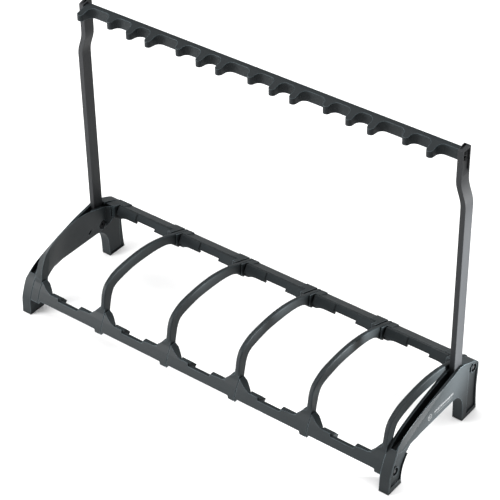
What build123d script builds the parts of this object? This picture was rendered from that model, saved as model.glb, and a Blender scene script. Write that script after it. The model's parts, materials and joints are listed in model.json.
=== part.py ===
"""Guitar rack for five instruments: five moulded bays clamped between two end cheeks,
with a folding back frame (two uprights and a lobed neck rest). Millimetres, +Z up."""

import os

from build123d import *

os.makedirs("parts", exist_ok=True)

# ---- driving dimensions -------------------------------------------------------------
BAYS = 5
PITCH = 150.0  # one guitar bay
CHEEK = 19.5  # width of an end cheek
WALL = 4.5  # inner and outer wall of a cheek
CHANNEL = CHEEK - 2 * WALL  # slot between them, which takes the folded upright
END_FRAME = 17.5  # width of the left end frame, a hoop with no bay of its own
DEPTH = 268.0  # front of the feet to the back of the feet
LENGTH = 2 * CHEEK + END_FRAME + BAYS * PITCH
X_LEFT = -LENGTH / 2
X_RIGHT = LENGTH / 2

FIT = 0.05  # clearance all round where one piece sits in another
RUNNING = 0.4  # clearance beside a moving upright

# All (y, z) pairs below are measured back from the front of the feet and up from the floor.
PAD_PROUD = 1.0  # rubber foot pads lift the mouldings this far off the floor
HOOP = 10.0  # thickness of a hoop, along the rack
LEG_BACK = 35.0  # back of a hoop's front leg
COLLAR_Z = 34.8  # underside of the front rail where two mouldings meet
RAIL_Z = 39.5  # underside of the front rail between the joints
REAR_FACE = 219.0  # front face of the rear rail at the joints
REAR_BACK = 261.0
ARCH_Z = 71.0  # underside of a cheek between its front foot and its rear leg
FLOOR_Z = 74.0  # floor of the channel in a cheek
FOOT_BACK = 37.5
LEG_FRONT = 223.5

# upright: it turns about the centre of its round lower end, and its top steps inwards
UPRIGHT = CHANNEL - 2 * RUNNING
UPRIGHT_FRONT = 194.5
UPRIGHT_BACK = 217.0
PIVOT = ((UPRIGHT_FRONT + UPRIGHT_BACK) / 2, 86.0)
JOGGLE = 11.0
JOGGLE_LOW, JOGGLE_HIGH = 455.0, 505.0
UPRIGHT_TOP = 560.0
PIVOT_BOLT_R = 4.0
BUSH_R = 6.5
PIVOT_NUT_T = 3.0
PIVOT_NUT_R = 6.5
PIVOT_HEAD_R = 6.8
PIVOT_HEAD_T = 4.0
PIVOT_WELL_R = 9.2  # well in the inner wall for the head
PIVOT_WELL = 2.5

# neck rest: a bar with three lobes a bay
REST_BOTTOM, REST_TOP = 538.0, 558.0
REST_FRONT, REST_BACK = 199.0, 209.0
LOBE_AT = (-4.2, 54.8, 103.8)  # lobe centres from the left seam of a bay
LOBE_TIP = (172.5, 182.0, 174.0)  # how far forward each lobe reaches
LOBE_R = 6.0
ROOT_R = 11.0  # hollow beside each lobe
SCREW_Z = (541.5, 552.5)
SCREW_R = 1.75
SCREW_HEAD_R = 3.6
SCREW_HEAD_T = 2.2
SCREW_GRIP = 22.0
RECESS = 2.5  # depth of the recess that hides the screws

# tie rods, which clamp the base together from cheek to cheek
ROD_R = 3.0
RODS = ((18.5, 40.0), (251.0, 101.0))
BOSS_R = 9.4
WELL_R = 7.6  # well for a nut and its washer
WELL = 8.0
NUT_R = 5.8
NUT_T = 5.0
WASHER_R = 7.0
WASHER_T = 1.2
SPIGOT_R = 4.2  # locating spigot round each rod, where two mouldings meet
SPIGOT = 3.0
GROOVE = 1.0  # width of the shadow groove at each seam


# ---- planes, shared outlines and small helpers ---------------------------------------
def seam(bay):
    """Plane between a bay and whatever stands on its left."""
    return X_LEFT + CHEEK + END_FRAME + bay * PITCH


def side(x):
    """Side view at x: local x runs back from the front of the feet, local y is height."""
    return Plane(origin=(x, -DEPTH / 2, 0), x_dir=(0, 1, 0), z_dir=(1, 0, 0))


def front(y):
    """Front view at depth y: local x is X, local y is height. It faces the front."""
    return Plane(origin=(0, y - DEPTH / 2, 0), x_dir=(1, 0, 0), z_dir=(0, -1, 0))


def write(part, name):
    part.label = name
    export_step(part, f"parts/{name}.step")


# The front of every moulding follows one line, which leans back as it rises.
FRONT_LINE = ((0.5, PAD_PROUD), (1.5, 16), (3, 34), (7, 46), (12, 58), (18, 69), (20, 76))
HOOP_OUTER = ((20, 76), (20.8, 92), (22.6, 103), (26.2, 114.5), (33, 125), (42, 131.5), (52, 136.5),
              (80, 142.5), (120, 145), (161, 142), (205, 131.5), (REAR_FACE + 2, 126))
HOOP_INNER = ((REAR_FACE, 101), (207, 111), (185, 118.5), (140, 123), (96, 122.5), (72, 118.5), (58, 115),
              (48.5, 109.5), (44, 102), (41, 92), (38, 80), (LEG_BACK, 60))
REAR_TOP = ((REAR_FACE + 2, 126), (240, 119.5), (REAR_BACK, 111.5))
REAR_END = ((REAR_BACK + 1, 104), (REAR_BACK - 1, 96), (REAR_FACE + 6, 96), (REAR_FACE, 101))
CHEEK_TOP = ((38, 88), (60, 98), (116, 113.5), (172, 124.5), (196, 129))


def hoop_face():
    """Side view of a hoop: front rail joint, arch and rear rail joint in one ring."""
    with BuildSketch(Plane.XY) as face:
        with BuildLine():
            Polyline((3, COLLAR_Z), *FRONT_LINE[3:6], HOOP_OUTER[0])
            Spline(*HOOP_OUTER)
            Polyline(*REAR_TOP, *REAR_END)
            Spline(*HOOP_INNER)
            Polyline(HOOP_INNER[-1], (LEG_BACK, 39), (30, COLLAR_Z), (3, COLLAR_Z))
        make_face()
    return face.sketch


def cheek_face():
    """Side view of a cheek: front foot, arch and rear leg under one sweeping top."""
    with BuildSketch(Plane.XY) as face:
        with BuildLine():
            Spline(*FRONT_LINE[:6], *CHEEK_TOP)
            Spline(CHEEK_TOP[-1], (208, 131), (222, 128), (240, 120.5), (258, 112), (266, 104))
            Spline((266, 104), (266.5, 95), (264.5, 66), (265, 34), (267.5, PAD_PROUD))
            Line((267.5, PAD_PROUD), (LEG_FRONT, PAD_PROUD))
            Spline((LEG_FRONT, PAD_PROUD), (222.5, 30), (218, 50), (205, 66), (187, ARCH_Z))
            Line((187, ARCH_Z), (92, ARCH_Z))
            Spline((92, ARCH_Z), (72, 67), (54, 55), (42, 38), (FOOT_BACK, PAD_PROUD))
            Line((FOOT_BACK, PAD_PROUD), FRONT_LINE[0])
        make_face()
    return face.sketch


def fill_face():
    """Where a cheek is closed between its walls: front band, channel floor, rear block."""
    band, gap = (24, 79), (30, FLOOR_Z)
    rear = UPRIGHT_BACK + RUNNING
    with BuildSketch(Plane.XY) as face:
        with BuildLine():
            Polyline((-10, -5), (-10, band[1]), band, gap, (rear, FLOOR_Z), (rear, 150),
                     (290, 150), (290, -5), (-10, -5))
        make_face()
        add(cheek_face(), mode=Mode.INTERSECT)
    return face.sketch


def rod_spigots(x, height):
    """Spigots round both rods on the left of a moulding, centred on x - height."""
    with BuildPart() as spigots:
        for y, z in RODS:
            with BuildSketch(side(x - height)):
                with Locations((y, z)):
                    Circle(SPIGOT_R)
            extrude(amount=height)
    return spigots.part


def rod_bores(x, length, socket=True):
    """Cutter for both rods from x, with the sockets for the spigots at its right end."""
    with BuildPart() as bores:
        for y, z in RODS:
            with BuildSketch(side(x)):
                with Locations((y, z)):
                    Circle(ROD_R + FIT)
            extrude(amount=length)
            if socket:
                with BuildSketch(side(x + length - SPIGOT - FIT)):
                    with Locations((y, z)):
                        Circle(SPIGOT_R + FIT)
                extrude(amount=SPIGOT + FIT)
    return bores.part


def seam_groove(x, top, reach):
    """Cutter for a narrow groove round both joints at x, which leaves the inside of the joint.
    The front joint keeps what is below top, and the groove there goes up to reach."""
    with BuildPart() as groove:
        with BuildSketch(side(x)):
            with BuildLine():
                Polyline((0, 30), (0, reach), (40, reach), (40, 30), (0, 30))
            make_face()
            with BuildLine():
                Polyline((4.4, COLLAR_Z + 1.2), (8.5, 46), (13.3, 58), (19.3, 68.5), (20.2, top), (42, top),
                         (42, COLLAR_Z + 1.2), (4.4, COLLAR_Z + 1.2))
            make_face(mode=Mode.SUBTRACT)
            with BuildLine():
                Polyline((REAR_FACE, 90), (REAR_FACE, 135), (268, 135), (268, 90), (REAR_FACE, 90))
            make_face()
            with BuildLine():
                Polyline((REAR_FACE + 3.2, 124), (240, 118.2), (REAR_BACK - 1.2, 110.7),
                         (REAR_BACK - 0.3, 104), (REAR_BACK - 2, 97.2), (REAR_FACE + 6.5, 97.2),
                         (REAR_FACE + 1.2, 101.5), (REAR_FACE + 3.2, 124))
            make_face(mode=Mode.SUBTRACT)
        extrude(amount=GROOVE)
    return groove.part


# ---- end cheeks ---------------------------------------------------------------------
def plain_cheek():
    """Left cheek without what differs from side to side; its outer face is at X_LEFT."""
    outline = cheek_face()
    rear_block = UPRIGHT_BACK + RUNNING
    with BuildPart() as cheek:
        for x in (X_LEFT, X_LEFT + CHEEK - WALL):
            with BuildSketch(side(x)):
                add(outline)
            extrude(amount=WALL)
        with BuildSketch(side(X_LEFT + WALL)):
            add(fill_face())
        extrude(amount=CHANNEL)
        # the front foot and the rear leg are hollow from below
        with BuildSketch(side(X_LEFT + WALL)):
            with Locations((17.5, 12)):
                Rectangle(25, 26)
            with Locations((244.5, 40)):
                Rectangle(32, 84)
        extrude(amount=CHANNEL, mode=Mode.SUBTRACT)
        # facet along the outer edge of the arch, deepest at the front
        facet = Plane(origin=(X_LEFT, 60 - DEPTH / 2, 84), x_dir=(0, 1, 0.386), z_dir=(-1, -0.12, 0.31))
        with BuildSketch(facet):
            with Locations((20, 0)):
                Rectangle(220, 60)
        extrude(amount=12, mode=Mode.SUBTRACT)
        # shallow pockets in the outer face leave a rim round the foot and the leg
        with BuildSketch(side(X_LEFT)):
            with BuildLine():
                Polyline((5, 12), (6, 34), (10.5, 46), (16, 58), (21, 68), (25, 73.5), (38.5, 69.8),
                         (85, 69.8), (71, 65.3), (52.5, 54), (40, 38), (35, 12), (5, 12))
            make_face()
            with Locations(RODS[0]):
                Circle(BOSS_R, mode=Mode.SUBTRACT)
        extrude(amount=3, mode=Mode.SUBTRACT)
        with BuildSketch(side(X_LEFT)):
            with BuildLine():
                Polyline((235.5, 9), (235.5, 108), (243, 115), (262.5, 104), (261.5, 66), (262, 34),
                         (263.5, 9), (235.5, 9))
            make_face()
            with Locations(RODS[1]):
                Circle(BOSS_R, mode=Mode.SUBTRACT)
        extrude(amount=2.5, mode=Mode.SUBTRACT)
        # the inner face of the leg steps back along its rear and lower edges
        with BuildSketch(side(X_LEFT + CHEEK - 3.2)):
            with BuildLine():
                Polyline((227, -5), (227, 9), (254, 9), (254, 42), (256, 72), (256, 95), (280, 95), (280, -5),
                         (227, -5))
            make_face()
        extrude(amount=WALL, mode=Mode.SUBTRACT)
        # the inner wall is lower beside the upright
        with BuildSketch(side(X_LEFT + CHEEK - WALL)):
            with BuildLine():
                Polyline((165, 132.3), (181, 128.5), (205, 123.4), (rear_block, 120), (rear_block, 150),
                         (165, 150), (165, 132.3))
            make_face()
        extrude(amount=WALL, mode=Mode.SUBTRACT)
        # wells for the tie rod nuts
        for y, z in RODS:
            with BuildSketch(side(X_LEFT)):
                with Locations((y, z)):
                    Circle(WELL_R)
            extrude(amount=WELL, mode=Mode.SUBTRACT)
        # pivot bore, with a pocket for its nut and a well for its head
        with BuildSketch(side(X_LEFT + WALL - PIVOT_NUT_T - FIT)):
            with Locations(PIVOT):
                Circle(PIVOT_BOLT_R + FIT)
        extrude(amount=CHEEK, mode=Mode.SUBTRACT)
        with BuildSketch(side(X_LEFT + WALL - PIVOT_NUT_T - FIT)):
            with Locations(PIVOT):
                RegularPolygon(PIVOT_NUT_R + FIT, 6)
        extrude(amount=PIVOT_NUT_T + FIT, mode=Mode.SUBTRACT)
        with BuildSketch(side(X_LEFT + CHEEK - PIVOT_WELL)):
            with Locations(PIVOT):
                Circle(PIVOT_WELL_R)
        extrude(amount=PIVOT_WELL, mode=Mode.SUBTRACT)
    return cheek.part


plain = plain_cheek()

with BuildPart() as left_cheek:
    add(plain)
    add(rod_bores(X_LEFT, CHEEK), mode=Mode.SUBTRACT)

with BuildPart() as right_cheek:
    add(mirror(plain, about=Plane.YZ))
    add(rod_spigots(X_RIGHT - CHEEK, SPIGOT))
    add(rod_bores(X_RIGHT - CHEEK - SPIGOT, CHEEK + SPIGOT, socket=False), mode=Mode.SUBTRACT)

write(left_cheek.part, "left_cheek")
write(right_cheek.part, "right_cheek")


# ---- left end frame -----------------------------------------------------------------
# Its top slopes down towards the cheek. Its other face leans in towards the cheek as it goes down,
# and swings out at the front and at the rear to the full width of the frame.
end_x = X_LEFT + CHEEK
SEAM_TOP = ((20.3, 75), (28, 90), (36, 105), (44, 112), (56, 116.5), (72, 122.4), (90, 128.7),
            (116, 132.2), (143, 133.6), (165, 132.3), (181, 128.5), (205, 123.4), (REAR_FACE + 1, 119.5))
CREST = ((20, 75), (21.2, 88), (24, 100), (28.5, 110.5), (34.5, 121), (42.5, 129.3), (54, 137), (70, 143.5),
         (90, 149), (116, 152.5), (145, 152.5), (168, 147.5), (186, 142), (205, 134), (REAR_FACE + 3, 124.6))
SEAM_UNDER = ((REAR_FACE, 96), (REAR_FACE, 73), (206, 71.5), (96, 71), (64, 66), (39, 66), (LEG_BACK, 75))
CREST_UNDER = ((REAR_FACE + 3, 103), (REAR_FACE, 97), (206, 95), (96, 95), (60, 89), (40, 82), (36.5, 75))
# the leaning face: (offset from the cheek, y) at two heights
LEAN_LOW, LEAN_HIGH = 60.0, 160.0
FACE_LOW = ((18, 34), (15, 43), (7.5, 66), (2.4, 97), (1.4, 130), (1.1, 170), (0.9, 201), (0.9, 217))
FACE_HIGH = ((18.5, 45), (18.2, 56), (16.4, 76), (13.4, 99), (11.8, 126), (11, 158), (8.6, 186), (6, 205),
             (4, 215))


def rib_face(top, under):
    with BuildSketch(Plane.XY) as face:
        with BuildLine():
            Spline(*top)
            Polyline(top[-1], *under, top[0])
        make_face()
    return face.sketch


def beyond(curve):
    """Plan region on the right of the leaning face."""
    with BuildSketch(Plane.XY) as region:
        with BuildLine():
            Spline(*curve)
            Polyline(curve[-1], (18.5, 220), (30, 220), (30, curve[0][1]), curve[0])
        make_face()
    return region.sketch


with BuildPart() as left_end_frame:
    with BuildSketch(side(end_x)):
        add(rib_face(SEAM_TOP, SEAM_UNDER))
    with BuildSketch(side(end_x + END_FRAME)):
        add(rib_face(CREST, CREST_UNDER))
    loft(ruled=True)
    for height, curve in ((LEAN_LOW, FACE_LOW), (LEAN_HIGH, FACE_HIGH)):
        with BuildSketch(Plane(origin=(end_x, -DEPTH / 2, height))):
            add(beyond(curve))
    loft(ruled=True, mode=Mode.SUBTRACT)
    # front and rear joints
    with BuildSketch(side(end_x)):
        with BuildLine():
            Polyline((3, COLLAR_Z), *FRONT_LINE[3:], (36.5, 76), (LEG_BACK, 60), (LEG_BACK, 39),
                     (30, COLLAR_Z), (3, COLLAR_Z))
        make_face()
        with BuildLine():
            Polyline(*REAR_TOP, *REAR_END, REAR_TOP[0])
        make_face()
    extrude(amount=END_FRAME)
    # shallow hollow towards the cheek
    with BuildSketch(side(end_x)):
        with BuildLine():
            Polyline((62, 95), (62, 111), (90, 122), (116, 126), (172, 127), (190, 124), (190, 98), (62, 95))
        make_face()
    extrude(amount=3, mode=Mode.SUBTRACT)
    # opening over the head of the pivot bolt, with two notches, and a slot ahead of it
    with BuildSketch(side(end_x)):
        with Locations(PIVOT):
            Circle(PIVOT_WELL_R)
        with Locations((PIVOT[0] + 9.4, PIVOT[1] - 1), (PIVOT[0] + 1.5, PIVOT[1] - 9.6)):
            Circle(2.3)
        with Locations(Location((169, 89), 40)):
            SlotOverall(11, 5)
    extrude(amount=END_FRAME, mode=Mode.SUBTRACT)
    # upright slot in the front of the rear joint
    with BuildSketch(side(end_x + 13.2)):
        with Locations((REAR_FACE, 113)):
            Rectangle(9, 23)
    extrude(amount=2.6, mode=Mode.SUBTRACT)
    add(seam_groove(end_x, 80, 76), mode=Mode.SUBTRACT)
    add(rod_spigots(end_x, SPIGOT))
    add(rod_bores(end_x - SPIGOT, END_FRAME + SPIGOT), mode=Mode.SUBTRACT)

write(left_end_frame.part, "left_end_frame")


# ---- bay modules: front rail, hoop on the right, rear rail ---------------------------
BLOCK = (26.0, 49.0)  # raised pad block in a bay, from its left seam
BUMP = (93.0, 122.0)  # rounded pad bump
STEP = (45.0, 92.0)  # lowered part of the front rail
SPAN = PITCH - HOOP  # rails run from the left seam to the hoop
LIP_BACK = 14.2  # back of the lip in front of the pad
SEAT = ((13.6, 54.7), (27.0, 38.4))  # sloping seat of the front pad
REAR_SEAT = ((228.5, 104.0), (237.0, 119.6))
THIN = (50.0, 97.0)  # where the rear pad is thin


def front_rail(x):
    """Front rail: the outline from the front, trimmed to the outline from the side."""
    with BuildPart() as rail:
        with BuildSketch(front(0)):
            with BuildLine():
                Polyline((x, 73), (x, COLLAR_Z), (x + 3, COLLAR_Z))
                Spline((x + 3, COLLAR_Z), (x + 5, 37), (x + 7, RAIL_Z), tangents=((1, 0), (1, 0)))
                Line((x + 7, RAIL_Z), (x + SPAN - 5, RAIL_Z))
                Spline((x + SPAN - 5, RAIL_Z), (x + SPAN - 2.5, 37), (x + SPAN, COLLAR_Z),
                       tangents=((1, 0), (1, 0)))
                Line((x + SPAN, COLLAR_Z), (x + SPAN, 77))
                Spline((x + SPAN, 77), (x + 137, 75.8), (x + 131.6, 72.2), (x + 128, 67.5), (x + 124, 64.3),
                       (x + 118, 60.2))
                Spline((x + 118, 60.2), (x + 106, 59.8), (x + STEP[1] + 1, 58))
                Polyline((x + STEP[1] + 1, 58), (x + STEP[1], 54.2), (x + STEP[0] + 0.5, 54.2),
                         (x + STEP[0] - 1, 59), (x + BLOCK[0], 59))
                Spline((x + BLOCK[0], 59), (x + 16.4, 62.7), (x + 10, 66.3), (x + 5, 70.4), (x + 2, 73))
                Line((x + 2, 73), (x, 73))
            make_face()
        extrude(amount=-60)
        with BuildSketch(side(x)):
            with BuildLine():
                Polyline((3, COLLAR_Z), *FRONT_LINE[3:], (20.3, 79), (33, 79), (33, 39), (30, COLLAR_Z),
                         (3, COLLAR_Z))
            make_face()
        extrude(amount=SPAN, mode=Mode.INTERSECT)
        # sloping seat behind a lip, for the pad
        with BuildSketch(side(x + BLOCK[0] - 1)):
            with BuildLine():
                Polyline((LIP_BACK, 80), (LIP_BACK, 56), *SEAT, (40, 38.4), (40, 80), (LIP_BACK, 80))
            make_face()
        extrude(amount=BUMP[1] - BLOCK[0] + 2, mode=Mode.SUBTRACT)
        # the gussets at both ends narrow towards the pad
        with BuildSketch(Plane(origin=(x, -DEPTH / 2, 0))):
            with BuildLine():
                Spline((9, 31.5), (15.5, 27.4), (20, 24), (BLOCK[0] - 1, 20))
                Polyline((BLOCK[0] - 1, 20), (BLOCK[0] - 1, 40), (-1, 40), (-1, 31.5), (9, 31.5))
            make_face()
            with BuildLine():
                Spline((BUMP[1] + 1, 20), (127, 22.8), (131, 27), (SPAN - 4, 33))
                Polyline((SPAN - 4, 33), (SPAN - 4, 40), (BUMP[1] + 1, 40), (BUMP[1] + 1, 20))
            make_face()
        extrude(amount=80, mode=Mode.SUBTRACT)
        # hollow from below
        with BuildSketch(side(x + 12)):
            with BuildLine():
                Polyline((7.8, 30), (7.8, 41), (11.2, 50), (14.3, 50), (21.8, 41), (21.8, 30), (7.8, 30))
            make_face()
        extrude(amount=SPAN - 24, mode=Mode.SUBTRACT)
    return rail.part


def rear_rail(x):
    """Rear rail: the outline from the front, trimmed to the outline from the side."""
    with BuildPart() as rail:
        with BuildSketch(front(200)):
            with BuildLine():
                Polyline((x, 130), (x, 95), (x + 5, 95))
                Spline((x + 5, 95), (x + 16, 99), (x + 30, 101.5), tangents=((1, 0), (1, 0)))
                Line((x + 30, 101.5), (x + 108, 101.5))
                Spline((x + 108, 101.5), (x + 122, 99), (x + 133, 95), tangents=((1, 0), (1, 0)))
                Polyline((x + 133, 95), (x + SPAN, 95), (x + SPAN, 130), (x, 130))
            make_face()
        extrude(amount=-80)
        with BuildSketch(side(x)):
            with BuildLine():
                Polyline(*REAR_TOP, *REAR_END, REAR_TOP[0])
            make_face()
        extrude(amount=SPAN, mode=Mode.INTERSECT)
        # the top is a little lower between the joints
        with BuildSketch(side(x + 12)):
            with BuildLine():
                Polyline((210, 132.5), (REAR_BACK + 5, 107), (REAR_BACK + 5, 140), (210, 140), (210, 132.5))
            make_face()
        extrude(amount=SPAN - 34, mode=Mode.SUBTRACT)
        # sloping seat for the pad, which starts a slot's width beyond the collar
        with BuildSketch(side(x + 3.2)):
            with BuildLine():
                Polyline((210, 90), (REAR_SEAT[0][0], 90), *REAR_SEAT, (237, 140), (210, 140), (210, 90))
            make_face()
        extrude(amount=SPAN - 11.2, mode=Mode.SUBTRACT)
        # the front wall is shallower behind the thin part of the pad
        with BuildSketch(side(x + THIN[0])):
            with Locations((225, 98.5)):
                Rectangle(16, 20)
        extrude(amount=THIN[1] - THIN[0], mode=Mode.SUBTRACT)
        # hollow from below
        with BuildSketch(side(x + 12)):
            with BuildLine():
                Polyline((231.5, 90), (232, 104.5), (238, 115.5), (240, 115.8), (256, 108), (256, 90),
                         (231.5, 90))
            make_face()
        extrude(amount=SPAN - 24, mode=Mode.SUBTRACT)
    return rail.part


def bay_module(bay):
    """One moulding: both rails of a bay and the hoop on its right."""
    x = seam(bay)
    with BuildPart() as module:
        with BuildSketch(side(x + SPAN)):
            add(hoop_face())
        extrude(amount=HOOP)
        # the hoop is well rounded on its left, and only a little elsewhere
        left_rims, right_rims = module.edges().filter_by(GeomType.BSPLINE).group_by(Axis.X)
        fillet(left_rims.sort_by(Axis.Z)[-1], radius=5)
        fillet([left_rims.sort_by(Axis.Z)[0], *right_rims], radius=2)
        add(front_rail(x))
        add(rear_rail(x))
        add(seam_groove(x, 71.8, 80), mode=Mode.SUBTRACT)
        add(rod_spigots(x, SPIGOT))
        add(rod_bores(x - SPIGOT, PITCH + SPIGOT), mode=Mode.SUBTRACT)
    return module.part


first_module = bay_module(0)
for bay in range(BAYS):
    write(Pos(bay * PITCH, 0, 0) * first_module, f"bay_module_{bay + 1}")


# ---- rubber pads on the rails --------------------------------------------------------
def front_pad(bay):
    """Soft insert on the front rail: raised block, thin strip, rounded bump."""
    x = seam(bay)
    gap = 0.1
    with BuildPart() as pad:
        for (start, end), top in ((BLOCK, 59.4), (BUMP, 60.2)):
            with BuildSketch(side(x + start)):
                with BuildLine():
                    Polyline((LIP_BACK + gap, 56.2), (LIP_BACK + gap, top), (20.4, top), (31, 46.5),
                             (25.7, 42), (SEAT[0][0] + gap, 54.8), (LIP_BACK + gap, 56.2))
                make_face()
            extrude(amount=end - start)
        ends = pad.faces().filter_by(lambda face: face.normal_at().Z > 0.8)
        fillet(ends.edges(), radius=2)
        with BuildSketch(side(x + BLOCK[0] + 2)):
            with BuildLine():
                Polyline((SEAT[0][0] + gap, 54.8), (16.6, 54.7), (27.3, 41.7), (24.7, 41.4),
                         (SEAT[0][0] + gap, 54.8))
            make_face()
        extrude(amount=BUMP[1] - BLOCK[0] - 4)
    return pad.part


def rear_pad(bay):
    """Soft insert on the rear rail: thin in the middle third, thick at both sides."""
    x = seam(bay)
    (y0, z0), (y1, z1) = ((y - 0.1, z) for y, z in REAR_SEAT)
    with BuildPart() as pad:
        with BuildSketch(side(x + 6.2)):
            with BuildLine():
                Polyline(((y0 * 2 + y1) / 3, (z0 * 2 + z1) / 3), (226.2, 110.6), (233, 121.4), (y1, z1),
                         ((y0 * 2 + y1) / 3, (z0 * 2 + z1) / 3))
            make_face()
        extrude(amount=SPAN - 16)
        for start, end in ((6.2, THIN[0]), (THIN[1], SPAN - 9.8)):
            with BuildSketch(side(x + start)):
                with BuildLine():
                    Polyline((y0, z0), (222, 108), (231, 122), (y1, z1), (y0, z0))
                make_face()
            extrude(amount=end - start)
    return pad.part


first_front_pad = front_pad(0)
first_rear_pad = rear_pad(0)
for bay in range(BAYS):
    write(Pos(bay * PITCH, 0, 0) * first_front_pad, f"front_pad_{bay + 1}")
    write(Pos(bay * PITCH, 0, 0) * first_rear_pad, f"rear_pad_{bay + 1}")


# ---- folding back frame ---------------------------------------------------------------
def left_upright():
    """Upright with its pivot eye below and a screw recess in the outer face at the top."""
    x0 = X_LEFT + WALL + RUNNING
    x1 = x0 + JOGGLE
    pivot_z = PIVOT[1]
    with BuildPart() as upright:
        with BuildSketch(front(160)):
            with BuildLine():
                Line((x0, 60), (x0, JOGGLE_LOW))
                Spline((x0, JOGGLE_LOW), (x1, JOGGLE_HIGH), tangents=((0, 1), (0, 1)))
                Polyline((x1, JOGGLE_HIGH), (x1, 600), (x1 + UPRIGHT, 600), (x1 + UPRIGHT, JOGGLE_HIGH))
                Spline((x1 + UPRIGHT, JOGGLE_HIGH), (x0 + UPRIGHT, JOGGLE_LOW), tangents=((0, -1), (0, -1)))
                Polyline((x0 + UPRIGHT, JOGGLE_LOW), (x0 + UPRIGHT, 60), (x0, 60))
            make_face()
        extrude(amount=-80)
        with BuildSketch(side(x0)):
            with BuildLine():
                Polyline((UPRIGHT_BACK, pivot_z), (UPRIGHT_BACK, UPRIGHT_TOP),
                         (UPRIGHT_BACK - 4, UPRIGHT_TOP + 3), (UPRIGHT_BACK - 10, UPRIGHT_TOP + 3),
                         (UPRIGHT_FRONT, UPRIGHT_TOP - 1),
                         (UPRIGHT_FRONT, pivot_z))
                CenterArc(PIVOT, (UPRIGHT_BACK - UPRIGHT_FRONT) / 2, 180, 180)
            make_face()
        extrude(amount=JOGGLE + UPRIGHT, mode=Mode.INTERSECT)
        # bore for the bush
        with BuildSketch(side(x0)):
            with Locations(PIVOT):
                Circle(BUSH_R + FIT)
        extrude(amount=UPRIGHT, mode=Mode.SUBTRACT)
        # recess that hides the screws, with a ramp at its lower end
        with BuildSketch(front(UPRIGHT_FRONT + 3)):
            with BuildLine():
                Polyline((x1 - 1, 511), (x1, 512), (x1 + RECESS, 520), (x1 + RECESS, 557), (x1 - 1, 557),
                         (x1 - 1, 511))
            make_face()
        extrude(amount=-(UPRIGHT_BACK - UPRIGHT_FRONT - 6), mode=Mode.SUBTRACT)
        # hollow in the top end
        with BuildSketch(Plane.XY.offset(UPRIGHT_TOP - 0.5)):
            with Locations((x1 + RECESS / 2 + UPRIGHT / 2, (UPRIGHT_FRONT + UPRIGHT_BACK) / 2 - DEPTH / 2)):
                Rectangle(4.2, 16)
        extrude(amount=10, mode=Mode.SUBTRACT)
        # clearance holes for the screws
        for z in SCREW_Z:
            with BuildSketch(side(x1)):
                with Locations(((REST_FRONT + REST_BACK) / 2, z)):
                    Circle(SCREW_R + FIT)
            extrude(amount=UPRIGHT, mode=Mode.SUBTRACT)
    return upright.part


upright = left_upright()
write(upright, "left_upright")
write(mirror(upright, about=Plane.YZ), "right_upright")

REST_END = X_RIGHT - WALL - RUNNING - JOGGLE - UPRIGHT - FIT  # where the bar meets an upright

with BuildPart() as neck_rest:
    with BuildSketch(Plane.XY.offset(REST_BOTTOM)) as plan:
        with Locations((0, (REST_FRONT + REST_BACK) / 2 - DEPTH / 2)):
            Rectangle(2 * REST_END, REST_BACK - REST_FRONT)
        for bay in range(BAYS):
            for offset, tip in zip(LOBE_AT, LOBE_TIP):
                middle = (tip + LOBE_R + REST_FRONT + 2) / 2
                reach = REST_FRONT + 2 - tip - LOBE_R
                with Locations((seam(bay) + offset, middle - DEPTH / 2)):
                    Rectangle(2 * LOBE_R, reach)
                with Locations((seam(bay) + offset, tip + LOBE_R - DEPTH / 2)):
                    Circle(LOBE_R)
        bar_front = REST_FRONT - DEPTH / 2
        roots = plan.vertices().filter_by_position(Axis.Y, bar_front - 0.1, bar_front + 0.1)
        fillet(roots.filter_by_position(Axis.X, -REST_END + 8, REST_END - 8), radius=ROOT_R)
    extrude(amount=REST_TOP - REST_BOTTOM)
    # the lobes thin down towards their tips
    with BuildSketch(side(-REST_END)):
        with BuildLine():
            Polyline((REST_BACK, REST_BOTTOM), (REST_BACK, REST_TOP), (REST_FRONT + 2, REST_TOP),
                     (LOBE_TIP[0], 551.5), (160, 549), (160, 541.5), (LOBE_TIP[0], 540.5),
                     (REST_FRONT, REST_BOTTOM), (REST_BACK, REST_BOTTOM))
        make_face()
    extrude(amount=2 * REST_END, mode=Mode.INTERSECT)
    # pilot holes for the screws
    for z in SCREW_Z:
        for x in (-REST_END, REST_END - SCREW_GRIP):
            with BuildSketch(side(x)):
                with Locations(((REST_FRONT + REST_BACK) / 2, z)):
                    Circle(SCREW_R + FIT)
            extrude(amount=SCREW_GRIP, mode=Mode.SUBTRACT)

write(neck_rest.part, "neck_rest")


# ---- fasteners and bushes ---------------------------------------------------------------
def both_sides(part):
    """A left-hand piece and its mirror image, as one group of separate solids."""
    return Compound(children=[*part.solids(), *mirror(part, about=Plane.YZ).solids()])


with BuildPart() as left_screws:
    head_x = X_LEFT + WALL + RUNNING + JOGGLE + RECESS
    for z in SCREW_Z:
        with BuildSketch(side(head_x)):
            with Locations(((REST_FRONT + REST_BACK) / 2, z)):
                Circle(SCREW_R)
        extrude(amount=UPRIGHT - RECESS + SCREW_GRIP - 1)
        with BuildSketch(side(head_x - SCREW_HEAD_T)):
            with Locations(((REST_FRONT + REST_BACK) / 2, z)):
                Circle(SCREW_HEAD_R)
        extrude(amount=SCREW_HEAD_T)
write(both_sides(left_screws.part), "neck_rest_screws")

with BuildPart() as left_bush:
    with BuildSketch(side(X_LEFT + WALL + RUNNING / 2)):
        with Locations(PIVOT):
            Circle(BUSH_R)
            Circle(PIVOT_BOLT_R + FIT, mode=Mode.SUBTRACT)
    extrude(amount=CHANNEL - RUNNING)
write(both_sides(left_bush.part), "pivot_bushes")

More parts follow.
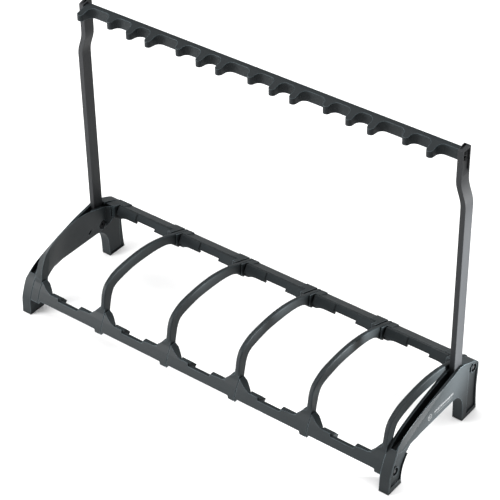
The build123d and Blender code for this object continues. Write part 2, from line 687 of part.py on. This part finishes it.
with BuildPart() as left_bolt:
    head_x = X_LEFT + CHEEK - PIVOT_WELL + FIT
    with BuildSketch(side(X_LEFT + WALL - PIVOT_NUT_T)):
        with Locations(PIVOT):
            Circle(PIVOT_BOLT_R)
    extrude(amount=head_x + 1 - (X_LEFT + WALL - PIVOT_NUT_T))
    with BuildSketch(side(head_x)):
        with Locations(PIVOT):
            Circle(PIVOT_HEAD_R)
    extrude(amount=PIVOT_HEAD_T)
    with BuildSketch(side(head_x + PIVOT_HEAD_T - 2.5)):
        with Locations(PIVOT):
            RegularPolygon(3, 6)
    extrude(amount=5, mode=Mode.SUBTRACT)
write(both_sides(left_bolt.part), "pivot_bolts")

with BuildPart() as left_pivot_nut:
    with BuildSketch(side(X_LEFT + WALL - PIVOT_NUT_T)):
        with Locations(PIVOT):
            RegularPolygon(PIVOT_NUT_R, 6)
            Circle(PIVOT_BOLT_R + FIT, mode=Mode.SUBTRACT)
    extrude(amount=PIVOT_NUT_T - FIT)
write(both_sides(left_pivot_nut.part), "pivot_nuts")

for name, (y, z) in zip(("front_tie_rod", "rear_tie_rod"), RODS):
    with BuildPart() as rod:
        with BuildSketch(side(X_LEFT + 1.2)):
            with Locations((y, z)):
                Circle(ROD_R)
        extrude(amount=LENGTH - 2.4)
    write(rod.part, name)

with BuildPart() as left_nuts:
    with BuildSketch(side(X_LEFT + WELL - WASHER_T - NUT_T - 2 * FIT)):
        with Locations(*RODS):
            RegularPolygon(NUT_R, 6)
            Circle(ROD_R + FIT, mode=Mode.SUBTRACT)
    extrude(amount=NUT_T)
write(both_sides(left_nuts.part), "tie_rod_nuts")

with BuildPart() as left_washers:
    with BuildSketch(side(X_LEFT + WELL - WASHER_T - FIT)):
        with Locations(*RODS):
            Circle(WASHER_R)
            Circle(ROD_R + FIT, mode=Mode.SUBTRACT)
    extrude(amount=WASHER_T)
write(both_sides(left_washers.part), "tie_rod_washers")


# ---- foot pads, plugged into the hollow feet ---------------------------------------------
with BuildPart() as left_foot_pads:
    for y0, y1, plug0, plug1 in ((1.5, FOOT_BACK - 1, 5, 30), (LEG_FRONT + 1, 266.5, 228.5, 260.5)):
        with BuildSketch(Plane.XY):
            with Locations((X_LEFT + CHEEK / 2, (y0 + y1) / 2 - DEPTH / 2)):
                Rectangle(CHEEK - 2, y1 - y0)
        extrude(amount=PAD_PROUD - FIT)
        with BuildSketch(Plane.XY):
            with Locations((X_LEFT + CHEEK / 2, (plug0 + plug1) / 2 - DEPTH / 2)):
                Rectangle(CHANNEL - 2 * FIT, plug1 - plug0 - 2 * FIT)
        extrude(amount=6)
write(both_sides(left_foot_pads.part), "foot_pads")
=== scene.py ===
"""Looks, light and camera for the guitar rack. Metres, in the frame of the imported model."""
import json
import math

import bmesh
import bpy
from mathutils import Matrix, Vector


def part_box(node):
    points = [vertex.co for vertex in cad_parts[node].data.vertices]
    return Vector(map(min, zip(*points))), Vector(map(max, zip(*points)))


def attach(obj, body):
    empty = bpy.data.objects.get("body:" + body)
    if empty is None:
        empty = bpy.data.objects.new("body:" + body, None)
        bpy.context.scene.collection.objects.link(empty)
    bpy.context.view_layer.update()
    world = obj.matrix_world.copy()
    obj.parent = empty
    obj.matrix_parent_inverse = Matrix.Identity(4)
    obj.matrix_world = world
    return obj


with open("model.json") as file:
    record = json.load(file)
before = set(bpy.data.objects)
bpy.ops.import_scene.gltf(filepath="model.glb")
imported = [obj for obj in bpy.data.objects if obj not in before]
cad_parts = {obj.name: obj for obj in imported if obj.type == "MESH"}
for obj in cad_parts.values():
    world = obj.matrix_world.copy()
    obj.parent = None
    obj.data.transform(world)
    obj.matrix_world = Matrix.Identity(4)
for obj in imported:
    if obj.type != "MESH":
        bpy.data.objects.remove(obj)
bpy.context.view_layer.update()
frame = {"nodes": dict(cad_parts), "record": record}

# ---- camera --------------------------------------------------------------------------
CAMERA_AT = Vector((1.5514, -1.9650, 2.1142))
YAW, PITCH, ROLL = 0.6610, 0.6430, -0.0160  # radians: left of +Y, down, clockwise
LENS, SENSOR = 132.7, 36.0  # mm


def add_camera():
    data = bpy.data.cameras.new("camera")
    data.sensor_width = SENSOR
    data.lens = LENS
    data.clip_end = 50.0
    cam = bpy.data.objects.new("camera", data)
    bpy.context.scene.collection.objects.link(cam)
    across, along = -math.sin(YAW), math.cos(YAW)
    forward = Vector((across * math.cos(PITCH), along * math.cos(PITCH), -math.sin(PITCH)))
    level = Vector((math.cos(YAW), math.sin(YAW), 0.0))
    upright = level.cross(forward)
    right = math.cos(ROLL) * level + math.sin(ROLL) * upright
    up = -math.sin(ROLL) * level + math.cos(ROLL) * upright
    turn = Matrix((right, up, -forward)).transposed().to_4x4()
    cam.matrix_world = Matrix.Translation(CAMERA_AT) @ turn
    bpy.context.scene.camera = cam


# ---- node helpers --------------------------------------------------------------------
MIX_INPUTS, MIX_OUTPUT = (0, 6, 7), 2  # factor, colour A and colour B of a mix node, and its colour
OCCLUSION = (0.25, 0.85)  # share of open sky that counts as deep in a slot, and as open
EDGE_COSINE = (0.985, 0.82)  # between rounded and true normal: on a flat face, and on an edge


def scaled(color, factor):
    return tuple(c * factor for c in color[:3]) + (1.0,)


class Nodes:
    """Short calls for building one material."""

    def __init__(self, name):
        self.material = bpy.data.materials.new(name)
        self.material.use_nodes = True
        self.tree = self.material.node_tree
        self.shader = self.tree.nodes["Principled BSDF"]
        self.coords = self.node("ShaderNodeTexCoord").outputs["Object"]

    def node(self, kind):
        return self.tree.nodes.new(kind)

    def link(self, source, target):
        self.tree.links.new(source, target)

    def stretched(self, scale):
        mapping = self.node("ShaderNodeMapping")
        self.link(self.coords, mapping.inputs["Vector"])
        mapping.inputs["Scale"].default_value = scale
        return mapping.outputs["Vector"]

    def noise(self, scale, detail, roughness, at=None):
        made = self.node("ShaderNodeTexNoise")
        made.inputs["Scale"].default_value = scale
        made.inputs["Detail"].default_value = detail
        made.inputs["Roughness"].default_value = roughness
        self.link(at or self.coords, made.inputs["Vector"])
        return made.outputs["Fac"]

    def remap(self, value, low, high, out_low, out_high):
        made = self.node("ShaderNodeMapRange")
        made.inputs["From Min"].default_value = low
        made.inputs["From Max"].default_value = high
        made.inputs["To Min"].default_value = out_low
        made.inputs["To Max"].default_value = out_high
        self.link(value, made.inputs["Value"])
        return made.outputs["Result"]

    def math(self, operation, a, b):
        made = self.node("ShaderNodeMath")
        made.operation = operation
        for socket, value in zip(made.inputs, (a, b)):
            if isinstance(value, (int, float)):
                socket.default_value = value
            else:
                self.link(value, socket)
        return made.outputs["Value"]

    def mix(self, fac, a, b):
        made = self.node("ShaderNodeMix")
        made.data_type = "RGBA"
        for index, value in zip(MIX_INPUTS, (fac, a, b)):
            if isinstance(value, (int, float, tuple)):
                made.inputs[index].default_value = value
            else:
                self.link(value, made.inputs[index])
        return made.outputs[MIX_OUTPUT]

    def rounded(self, radius):
        made = self.node("ShaderNodeBevel")
        made.samples = 4
        made.inputs["Radius"].default_value = radius
        return made.outputs["Normal"]

    def bump(self, height, strength, distance, normal=None):
        made = self.node("ShaderNodeBump")
        made.inputs["Strength"].default_value = strength
        made.inputs["Distance"].default_value = distance
        self.link(height, made.inputs["Height"])
        if normal is not None:
            self.link(normal, made.inputs["Normal"])
        return made.outputs["Normal"]

    def painted_shade(self, distance, darkest):
        """Painted shade: a colour factor that falls from 1 in the open to the given value deep in
        slots and corners.
        """
        made = self.node("ShaderNodeAmbientOcclusion")
        made.samples = 6
        made.inputs["Distance"].default_value = distance
        return self.remap(made.outputs["AO"], *OCCLUSION, darkest, 1.0)

    def scale(self, color, factor):
        made = self.node("ShaderNodeVectorMath")
        made.operation = "SCALE"
        self.link(color, made.inputs["Vector"])
        self.link(factor, made.inputs["Scale"])
        return made.outputs["Vector"]

    def edges(self, radius):
        """0 on flat faces to 1 on edges: how far the rounded normal turns from the true one."""
        geometry = self.node("ShaderNodeNewGeometry")
        dot = self.node("ShaderNodeVectorMath")
        dot.operation = "DOT_PRODUCT"
        self.link(self.rounded(radius), dot.inputs[0])
        self.link(geometry.outputs["True Normal"], dot.inputs[1])
        return self.remap(dot.outputs["Value"], *EDGE_COSINE, 0.0, 1.0)

    def finish(self, color, roughness, normal):
        for source, name in ((color, "Base Color"), (roughness, "Roughness"), (normal, "Normal")):
            self.link(source, self.shader.inputs[name])
        return self.material


# ---- surfaces: radii and distances in metres, noise scales per metre ---------------------
MOULDED_EDGE_HIGHLIGHT, DRAWN_EDGE_HIGHLIGHT = 7.0, 3.0  # how much lighter the painted edge highlight is than the face
MOULDED_EDGE = 0.0012
RUBBER_ROUGHNESS = 0.78


def moulded(name, dark, light, rough, grain, spec=0.3):
    """Spark-eroded moulded plastic: fine grain, cloudy sheen, faint scuffs, soft edges, with
    painted highlights along edges and painted shade in slots and corners.
    """
    n = Nodes(name)
    cloud = n.noise(9.0, 4.0, 0.6)
    fine = n.noise(520.0, 2.0, 0.6)
    scuff = n.noise(60.0, 5.0, 0.75, n.stretched((1.0, 4.0, 1.6)))
    scuffs = n.remap(scuff, 0.62, 0.72, 0.0, 0.5)
    # painted shade: darker in slots and corners
    painted_shade_factor = n.painted_shade(0.016, 0.12)
    color = n.mix(n.remap(cloud, 0.3, 0.7, 0.0, 1.0), dark, light)
    # painted highlight along the edges, patchy and kept out of the painted shade
    patches = n.remap(n.noise(35.0, 3.0, 0.6), 0.3, 0.6, 0.55, 1.0)
    edge_highlight = n.math("MULTIPLY", n.edges(0.0019), patches)
    edge_highlight = n.math("MULTIPLY", edge_highlight, n.remap(painted_shade_factor, 0.6, 1.0, 0.0, 1.0))
    color = n.mix(edge_highlight, color, scaled(light, MOULDED_EDGE_HIGHLIGHT))
    # painted shade applied to the colour
    color = n.scale(color, painted_shade_factor)
    sheen = n.remap(cloud, 0.25, 0.75, rough - 0.04, rough + 0.05)
    roughness = n.math("ADD", sheen, n.math("MULTIPLY", scuffs, 0.12))
    relief = n.math("ADD", fine, n.math("MULTIPLY", scuffs, 0.4))
    normal = n.bump(relief, grain, 0.00025, n.rounded(MOULDED_EDGE))
    n.shader.inputs["Specular IOR Level"].default_value = spec
    return n.finish(color, roughness, normal)


def drawn(name, dark, light, spec):
    """Long extruded or drawn plastic with faint lengthwise marks, painted highlights along edges
    and painted shade in slots and corners.
    """
    n = Nodes(name)
    streak = n.noise(1.0, 6.0, 0.7, n.stretched((900.0, 900.0, 5.0)))
    cloud = n.noise(14.0, 3.0, 0.5)
    fine = n.noise(700.0, 2.0, 0.5)
    color = n.mix(n.remap(streak, 0.35, 0.65, 0.0, 1.0), dark, light)
    # painted highlight along the edges
    edge_highlight = n.math("MULTIPLY", n.edges(0.0012), 0.8)
    color = n.mix(edge_highlight, color, scaled(light, DRAWN_EDGE_HIGHLIGHT))
    # painted shade: darker in slots and corners
    color = n.scale(color, n.painted_shade(0.02, 0.15))
    sheen = n.remap(streak, 0.3, 0.7, 0.4, 0.54)
    roughness = n.math("ADD", sheen, n.math("MULTIPLY", cloud, 0.06))
    relief = n.math("ADD", streak, n.math("MULTIPLY", fine, 0.3))
    normal = n.bump(relief, 0.25, 0.0002, n.rounded(0.0009))
    n.shader.inputs["Specular IOR Level"].default_value = spec
    return n.finish(color, roughness, normal)


def rubbery(name, dark, light):
    """Soft moulded rubber: dead matt, slightly dusty, finely pebbled, with painted shade in slots
    and corners.
    """
    n = Nodes(name)
    dust = n.noise(40.0, 6.0, 0.7)
    pebbles = n.node("ShaderNodeTexVoronoi")
    pebbles.inputs["Scale"].default_value = 900.0
    n.link(n.coords, pebbles.inputs["Vector"])
    color = n.mix(n.remap(dust, 0.4, 0.75, 0.0, 1.0), dark, light)
    # painted shade: darker in slots and corners
    color = n.scale(color, n.painted_shade(0.012, 0.3))
    normal = n.bump(pebbles.outputs["Distance"], 0.35, 0.0003, n.rounded(0.0014))
    n.shader.inputs["Specular IOR Level"].default_value = 0.2
    n.shader.inputs["Sheen Weight"].default_value = 0.03
    n.shader.inputs["Sheen Roughness"].default_value = 0.4
    roughness = n.remap(dust, 0.3, 0.7, RUBBER_ROUGHNESS - 0.06, RUBBER_ROUGHNESS + 0.08)
    return n.finish(color, roughness, normal)


def plated(name, dark, light, rough, metallic=1.0, spec=0.5):
    """Plated or blackened steel: brushed by tooling, a little dulled, with painted shade in slots
    and corners.
    """
    n = Nodes(name)
    brush = n.noise(1.0, 4.0, 0.6, n.stretched((60.0, 1400.0, 1400.0)))
    stain = n.noise(180.0, 4.0, 0.6)
    color = n.mix(n.remap(stain, 0.35, 0.7, 0.0, 1.0), dark, light)
    # painted shade: darker in slots and corners
    color = n.scale(color, n.painted_shade(0.01, 0.2))
    n.shader.inputs["Metallic"].default_value = metallic
    n.shader.inputs["Specular IOR Level"].default_value = spec
    normal = n.bump(brush, 0.15, 0.0001, n.rounded(0.0004))
    return n.finish(color, n.remap(brush, 0.3, 0.7, rough - 0.06, rough + 0.08), normal)


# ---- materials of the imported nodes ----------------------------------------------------
def grey(value, red=0.76):
    """Near-black with a slightly cold cast, colder with less red."""
    return (value * red, value, value * 1.12, 1.0)


ZINC = ((0.05, 0.052, 0.055, 1), (0.09, 0.093, 0.097, 1))  # dark and light of the stain pattern
BLACKENED = ((0.004, 0.0045, 0.005, 1), (0.009, 0.01, 0.011, 1))

SLOTS = {
    "moulding": moulded("moulding", grey(0.012), grey(0.016), 0.52, 0.35, spec=0.17),
    "upright_plastic": drawn("upright_plastic", grey(0.010, 0.9), grey(0.015, 0.9), spec=0.2),
    "neck_rubber": moulded("neck_rubber", grey(0.010), grey(0.014), 0.55, 0.45, spec=0.14),
    "rail_pad": rubbery("rail_pad", grey(0.013), grey(0.018)),
    "foot_rubber": rubbery("foot_rubber", grey(0.010), grey(0.014)),
    "zinc_steel": plated("zinc_steel", *ZINC, 0.5),
    "black_steel": plated("black_steel", *BLACKENED, 0.6, metallic=0.0, spec=0.05),
    "bush_plastic": moulded("bush_plastic", grey(0.03), grey(0.04), 0.35, 0.2),
}

for entry in frame["record"]["subparts"]:
    node = frame["nodes"][entry["node"]]
    node.data.materials.clear()
    node.data.materials.append(SLOTS[entry["material_slot"]])


# ---- printed mark on the outer face of the right cheek ---------------------------------
PRINT_T = 0.00006  # half of it is proud of the face
INK = (0.085, 0.088, 0.09, 1.0)
RING_AT = (0.1165, 0.0865)  # y from the front of the cheek, z
RING_R = (0.0062, 0.0044)
DOT_R = 0.0021
ROWS = (  # first y from the front of the cheek, z, height, width, pitch, number of bars
    (0.1300, 0.0862, 0.0042, 0.0037, 0.0049, 12),
    (0.1330, 0.0808, 0.0013, 0.0024, 0.0035, 15),
)


def printed(name, light):
    """Screen print: thin, slightly worn ink."""
    n = Nodes(name)
    wear = n.remap(n.noise(400.0, 5.0, 0.7), 0.35, 0.6, 0.0, 1.0)
    color = n.mix(wear, scaled(light, 0.6), light)
    n.shader.inputs["Specular IOR Level"].default_value = 0.3
    return n.finish(color, n.remap(wear, 0.0, 1.0, 0.7, 0.55), n.bump(wear, 0.1, 0.00005))


def add_plate(mesh, outline, hole=()):
    """Thin plate in the plane of the face: an outline of (y, z) points, perhaps round a hole."""
    face_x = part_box("right_cheek")[1][0]
    depths = (face_x - PRINT_T / 2, face_x + PRINT_T / 2)
    loops = []
    for points in (outline, hole) if hole else (outline,):
        loops.append([[mesh.verts.new((x, y, z)) for y, z in points] for x in depths])
    for back, face in loops:
        for i in range(len(back)):
            j = (i + 1) % len(back)
            mesh.faces.new((back[i], back[j], face[j], face[i]))
    for side in (0, 1):
        if hole:
            outer, inner = loops[0][side], loops[1][side]
            for i in range(len(outer)):
                j = (i + 1) % len(outer)
                mesh.faces.new((outer[i], outer[j], inner[j], inner[i]))
        else:
            mesh.faces.new(loops[0][side])


def circle(at, radius, steps=40):
    turns = [2 * math.pi * i / steps for i in range(steps)]
    return [(at[0] + radius * math.cos(a), at[1] + radius * math.sin(a)) for a in turns]


def add_mark():
    """A plain ring, a dot and two rows of bars, with nothing to read."""
    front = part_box("right_cheek")[0][1]
    middle = (front + RING_AT[0], RING_AT[1])
    mesh = bmesh.new()
    add_plate(mesh, circle(middle, RING_R[0]), circle(middle, RING_R[1]))
    add_plate(mesh, circle(middle, DOT_R))
    for first, z, height, width, pitch, count in ROWS:
        for i in range(count):
            y = front + first + i * pitch
            add_plate(mesh, ((y, z), (y + width, z), (y + width, z + height), (y, z + height)))
    bmesh.ops.recalc_face_normals(mesh, faces=mesh.faces)
    data = bpy.data.meshes.new("cheek_print")
    mesh.to_mesh(data)
    mesh.free()
    data.materials.append(printed("cheek_print", INK))
    mark = bpy.data.objects.new("cheek_print", data)
    bpy.context.scene.collection.objects.link(mark)
    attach(mark, "base")


add_mark()


# ---- floor and light --------------------------------------------------------------------
FLOOR_REACH = 12.0
WORLD_STRENGTH = 0.47
LAMPS = (  # name, place, target, size, power in watts, spread in degrees
    ("overhead", (0.0, 0.0, 3.0), (0.0, 0.0, 0.0), (4.0, 4.0), 150, 180),
    ("right strip", (0.86, 0.22, 0.3), (0.392, 0.068, 0.28), (0.07, 0.38), 1.25, 18),
    ("low strip", (0.95, 0.27, 0.13), (0.4, -0.02, 0.06), (0.14, 0.05), 0.3, 14),
    ("front softbox", (-1.7, -2.0, 0.7), (-0.15, 0.0, 0.1), (1.2, 0.8), 95, 180),
)


def add_floor():
    signs = ((-1, -1), (1, -1), (1, 1), (-1, 1))
    corners = [(x * FLOOR_REACH, y * FLOOR_REACH, 0) for x, y in signs]
    mesh = bpy.data.meshes.new("floor")
    mesh.from_pydata(corners, [], [(0, 1, 2, 3)])
    floor = bpy.data.objects.new("floor", mesh)
    bpy.context.scene.collection.objects.link(floor)
    material = bpy.data.materials.new("floor")
    material.use_nodes = True
    shader = material.node_tree.nodes["Principled BSDF"]
    shader.inputs["Base Color"].default_value = (0.9, 0.9, 0.9, 1)
    shader.inputs["Roughness"].default_value = 0.9
    shader.inputs["Specular IOR Level"].default_value = 0.1
    mesh.materials.append(material)


def add_area(name, at, target, size, power, spread):
    data = bpy.data.lights.new(name, "AREA")
    data.shape = "RECTANGLE"
    data.size, data.size_y = size
    data.energy = power
    data.spread = math.radians(spread)
    lamp = bpy.data.objects.new(name, data)
    bpy.context.scene.collection.objects.link(lamp)
    lamp.location = at
    lamp.rotation_euler = (Vector(target) - Vector(at)).to_track_quat("-Z", "Y").to_euler()
    lamp.visible_camera = False


def add_world(strength):
    world = bpy.data.worlds.new("studio")
    world.use_nodes = True
    background = world.node_tree.nodes["Background"]
    background.inputs["Color"].default_value = (1.0, 1.0, 1.0, 1.0)
    background.inputs["Strength"].default_value = strength
    bpy.context.scene.world = world


add_camera()
add_floor()
add_world(WORLD_STRENGTH)
for lamp in LAMPS:
    add_area(*lamp)
bpy.context.scene.view_settings.view_transform = "Standard"
